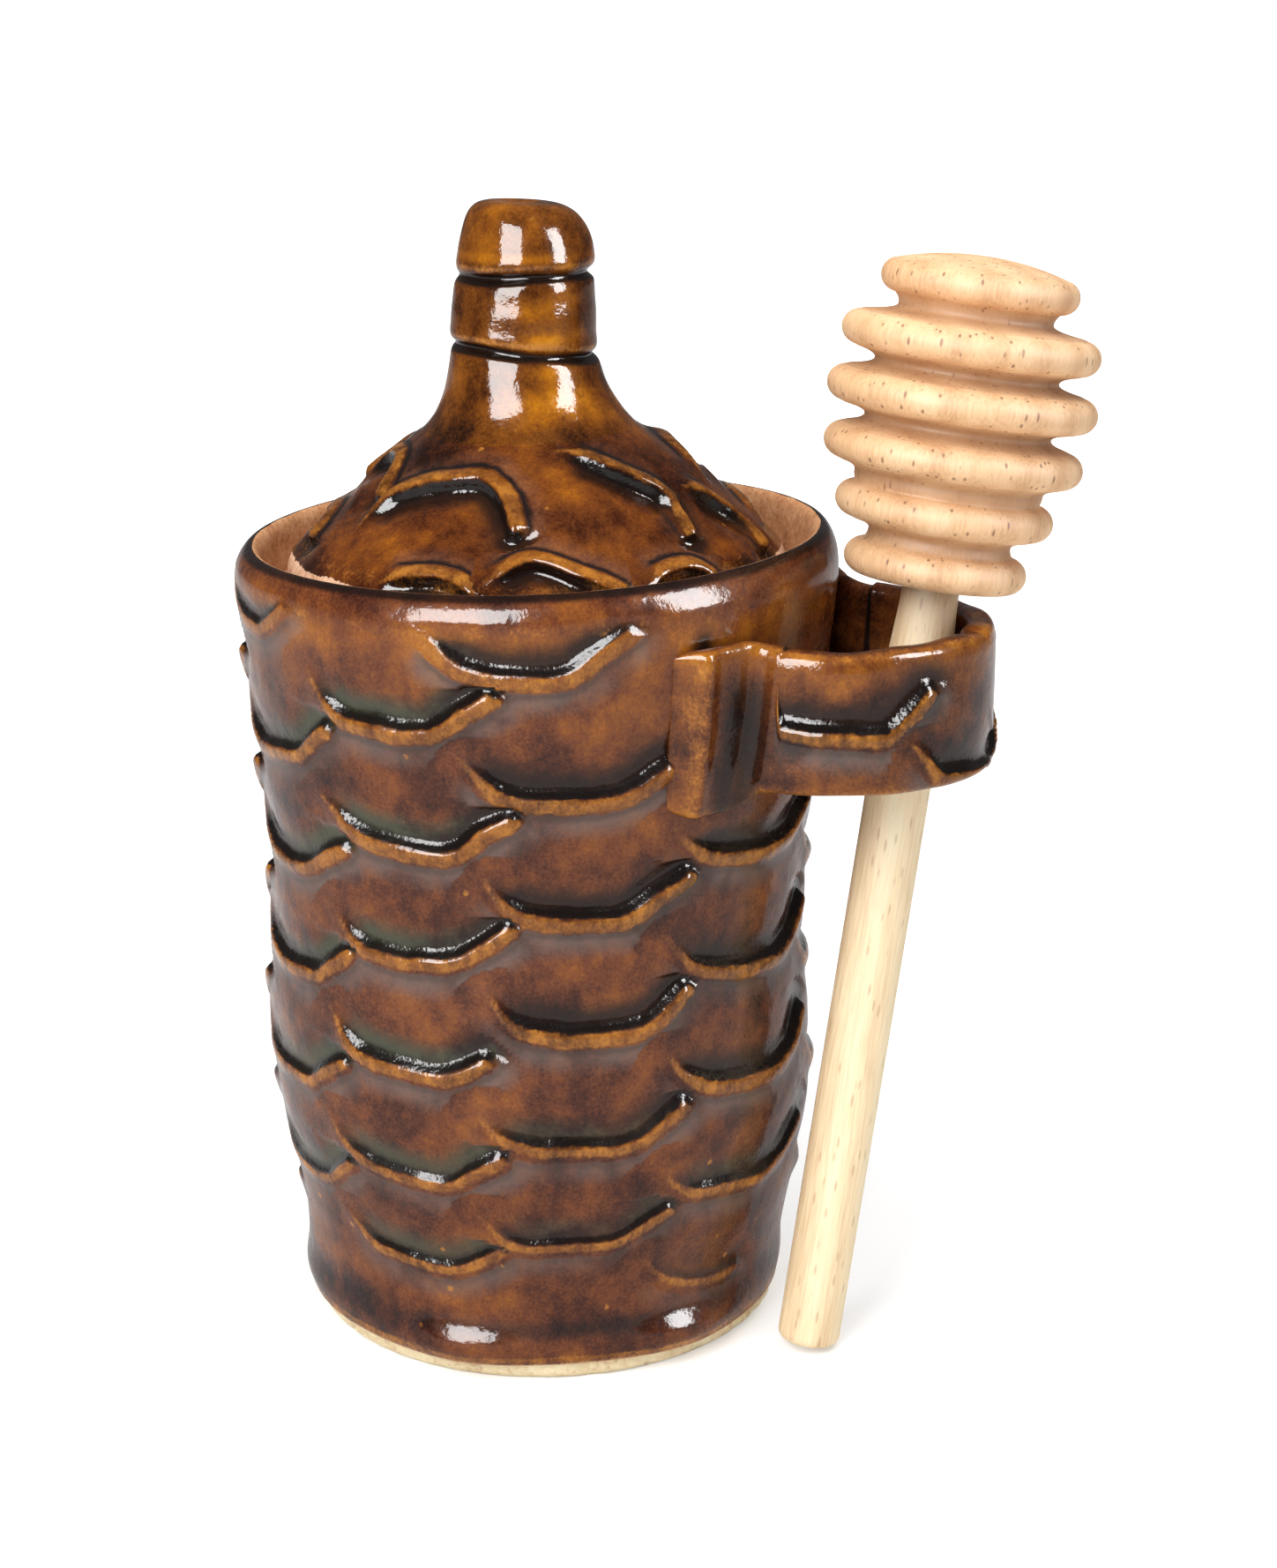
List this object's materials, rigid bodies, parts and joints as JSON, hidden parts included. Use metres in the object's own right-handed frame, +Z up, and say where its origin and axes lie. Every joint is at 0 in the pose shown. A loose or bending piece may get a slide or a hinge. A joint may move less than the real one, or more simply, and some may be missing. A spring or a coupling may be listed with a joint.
{
  "type": "honey pot",
  "caption": "Slab-built glazed stoneware honey pot with a scale relief, a drop-in lid with a grooved knob, and a side loop that holds a turned beech honey dipper.",
  "frame": {"origin": "centre of the foot's underside, on the table", "axes": "+Z up the pot's axis, +X towards the middle of the dipper loop, +Y to the loop's far side as the picture shows it"},
  "size_m": [0.1161, 0.0836, 0.1563],
  "materials": {
    "wall_glaze": "glossy brown glaze, amber where thin, near black where it pools",
    "bare_clay": "unglazed stoneware, buff",
    "ledge_clay": "unglazed stoneware, flashed red-brown inside the rim",
    "loop_glaze": "glossy brown glaze, amber where thin",
    "lid_glaze": "glossy brown glaze with a bare clay edge",
    "knob_glaze": "very glossy amber-brown glaze",
    "beech_head": "turned beech, waxed",
    "beech_stick": "turned beech, waxed, long flecks"
  },
  "bodies": {
    "pot": {"pot_wall": "wall_glaze", "pot_base": "bare_clay", "lid_ledge": "ledge_clay", "dipper_loop": "loop_glaze"},
    "lid": {"lid_dome": "lid_glaze", "lid_knob": "knob_glaze"},
    "dipper": {"dipper_head": "beech_head", "dipper_stick": "beech_stick"}
  },
  "joints": [
    {"name": "lid_lift", "type": "slide", "parent": "pot", "child": "lid", "axis": [0, 0, 1], "range_m": [0, 0.07]},
    {"name": "dipper_draw", "type": "slide", "parent": "pot", "child": "dipper", "axis": [0.1064, 0.1307, 0.9857], "range_m": [0, 0.115]}
  ]
}
